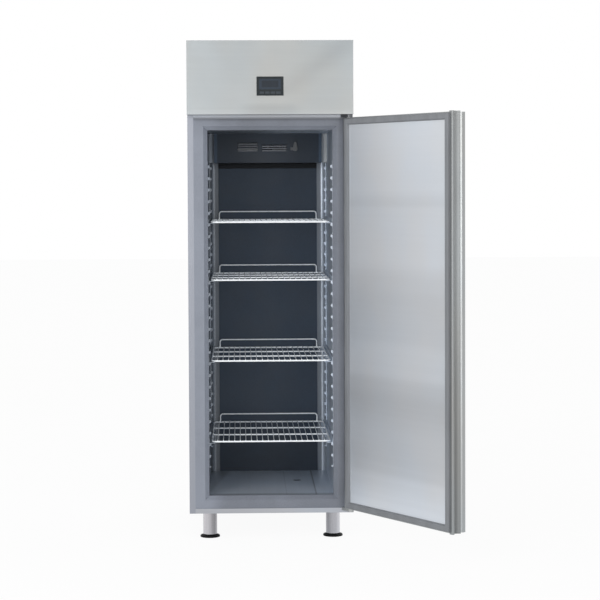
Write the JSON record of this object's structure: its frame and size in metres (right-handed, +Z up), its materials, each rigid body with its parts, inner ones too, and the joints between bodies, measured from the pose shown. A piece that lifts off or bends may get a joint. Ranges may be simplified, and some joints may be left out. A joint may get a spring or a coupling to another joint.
{
  "type": "upright refrigerator",
  "caption": "Tall stainless catering refrigerator standing on legs, its full-height door open on side hinges, with sliding wire shelves and a cooling unit behind the fascia.",
  "frame": {"origin": "on the floor, in the middle of the four feet", "axes": "+X to the right as seen from the front, +Y to the rear, +Z up"},
  "size_m": [1.1054, 1.3752, 2.114],
  "materials": {
    "casing_steel": "stainless steel, fine vertical brushing",
    "frame_steel": "stainless steel, satin",
    "lining_steel": "stainless steel, bright rolled",
    "insulation": "rigid foam",
    "zinc_steel": "zinc-coated sheet",
    "duct_panel": "dark coated sheet",
    "rack_steel": "stainless steel, bright",
    "shelf_wire": "plastic-coated steel wire, light grey",
    "cover_plastic": "dark moulded plastic",
    "fin_aluminium": "bare fins",
    "motor_body": "black enamel",
    "fan_plastic": "black moulded plastic",
    "tray_plastic": "grey moulded plastic",
    "lamp_plastic": "grey moulded plastic",
    "bezel_plastic": "black moulded plastic",
    "screen": "smoked window",
    "key_plastic": "grey moulded plastic",
    "compressor_enamel": "black enamel",
    "grommet_rubber": "black",
    "copper_pipe": "copper tube",
    "box_plastic": "grey moulded plastic",
    "gland_plastic": "black moulded plastic",
    "hinge_steel": "cast stainless, satin",
    "hinge_dark": "dark enamel",
    "leg_steel": "stainless steel tube",
    "foot_plastic": "black moulded plastic",
    "door_steel": "stainless steel, fine vertical brushing",
    "door_lining": "stainless steel, satin",
    "seal_rubber": "grey",
    "grip_steel": "satin anodised",
    "bush_nylon": "white nylon"
  },
  "bodies": {
    "cabinet": {"side_panel_left": "casing_steel", "side_panel_right": "casing_steel", "rear_panel": "zinc_steel", "base_pan": "casing_steel", "roof_deck": "zinc_steel", "foam_body": "insulation", "liner_sides": "lining_steel", "liner_back": "lining_steel", "liner_ceiling": "lining_steel", "liner_floor": "lining_steel", "breaker_frame": "frame_steel", "air_duct_panel": "duct_panel", "posts_left": "rack_steel", "posts_right": "rack_steel", "runners_left": "rack_steel", "runners_right": "rack_steel", "evaporator_cover": "cover_plastic", "evaporator_coil": "fin_aluminium", "evaporator_motor": "motor_body", "drip_tray": "tray_plastic", "interior_lamp": "lamp_plastic", "fascia_panel": "casing_steel", "controller_bezel": "bezel_plastic", "controller_window": "screen", "rear_grille": "zinc_steel", "compressor": "compressor_enamel", "compressor_grommets": "grommet_rubber", "condenser_coil": "fin_aluminium", "condenser_shroud": "zinc_steel", "condenser_motor": "motor_body", "refrigerant_pipes": "copper_pipe", "electrical_box": "box_plastic", "cable_gland": "gland_plastic", "hinge_bracket_upper": "hinge_dark", "hinge_bracket_lower": "hinge_steel", "legs": "leg_steel"},
    "door": {"door_skin": "door_steel", "door_liner": "door_lining", "door_core": "insulation", "door_seal": "seal_rubber", "door_grip": "grip_steel", "door_bushes": "bush_nylon"},
    "evaporator_rotor": {"evaporator_fan": "fan_plastic"},
    "condenser_rotor": {"condenser_fan": "fan_plastic"},
    "keycap_1": {"key_1": "key_plastic"},
    "keycap_2": {"key_2": "key_plastic"},
    "keycap_3": {"key_3": "key_plastic"},
    "keycap_4": {"key_4": "key_plastic"},
    "level_front_left": {"foot_front_left": "foot_plastic"},
    "level_front_right": {"foot_front_right": "foot_plastic"},
    "level_rear_left": {"foot_rear_left": "foot_plastic"},
    "level_rear_right": {"foot_rear_right": "foot_plastic"},
    "rack_1": {"shelf_1": "shelf_wire", "hoop_1": "shelf_wire"},
    "rack_2": {"shelf_2": "shelf_wire", "hoop_2": "shelf_wire"},
    "rack_3": {"shelf_3": "shelf_wire", "hoop_3": "shelf_wire"},
    "rack_4": {"shelf_4": "shelf_wire", "hoop_4": "shelf_wire"}
  },
  "joints": [
    {"name": "door_hinge", "type": "hinge", "parent": "cabinet", "child": "door", "pos_m": [0.336, -0.406, 0.9605], "axis": [0, 0, 1], "range_deg": [-124, 6]},
    {"name": "evaporator_fan_spin", "type": "hinge", "parent": "cabinet", "child": "evaporator_rotor", "pos_m": [0, 0.188, 1.6825], "axis": [0, 1, 0], "continuous": true},
    {"name": "condenser_fan_spin", "type": "hinge", "parent": "cabinet", "child": "condenser_rotor", "pos_m": [-0.16, -0.258, 1.921], "axis": [0, 1, 0], "continuous": true},
    {"name": "shelf_1_slide", "type": "slide", "parent": "cabinet", "child": "rack_1", "axis": [0, -1, 0], "range_m": [0, 0.32]},
    {"name": "shelf_2_slide", "type": "slide", "parent": "cabinet", "child": "rack_2", "axis": [0, -1, 0], "range_m": [0, 0.32]},
    {"name": "shelf_3_slide", "type": "slide", "parent": "cabinet", "child": "rack_3", "axis": [0, -1, 0], "range_m": [0, 0.32]},
    {"name": "shelf_4_slide", "type": "slide", "parent": "cabinet", "child": "rack_4", "axis": [0, -1, 0], "range_m": [0, 0.32]},
    {"name": "key_1_press", "type": "slide", "parent": "cabinet", "child": "keycap_1", "axis": [0, 1, 0], "range_m": [0, 0.001], "stiffness_N_per_m": 500},
    {"name": "key_2_press", "type": "slide", "parent": "cabinet", "child": "keycap_2", "axis": [0, 1, 0], "range_m": [0, 0.001], "stiffness_N_per_m": 500},
    {"name": "key_3_press", "type": "slide", "parent": "cabinet", "child": "keycap_3", "axis": [0, 1, 0], "range_m": [0, 0.001], "stiffness_N_per_m": 500},
    {"name": "key_4_press", "type": "slide", "parent": "cabinet", "child": "keycap_4", "axis": [0, 1, 0], "range_m": [0, 0.001], "stiffness_N_per_m": 500},
    {"name": "foot_front_left_turn", "type": "hinge", "parent": "cabinet", "child": "level_front_left", "pos_m": [-0.264, -0.324, 0.02], "axis": [0, 0, 1], "continuous": true},
    {"name": "foot_front_right_turn", "type": "hinge", "parent": "cabinet", "child": "level_front_right", "pos_m": [0.264, -0.324, 0.02], "axis": [0, 0, 1], "continuous": true},
    {"name": "foot_rear_left_turn", "type": "hinge", "parent": "cabinet", "child": "level_rear_left", "pos_m": [-0.264, 0.324, 0.02], "axis": [0, 0, 1], "continuous": true},
    {"name": "foot_rear_right_turn", "type": "hinge", "parent": "cabinet", "child": "level_rear_right", "pos_m": [0.264, 0.324, 0.02], "axis": [0, 0, 1], "continuous": true}
  ]
}
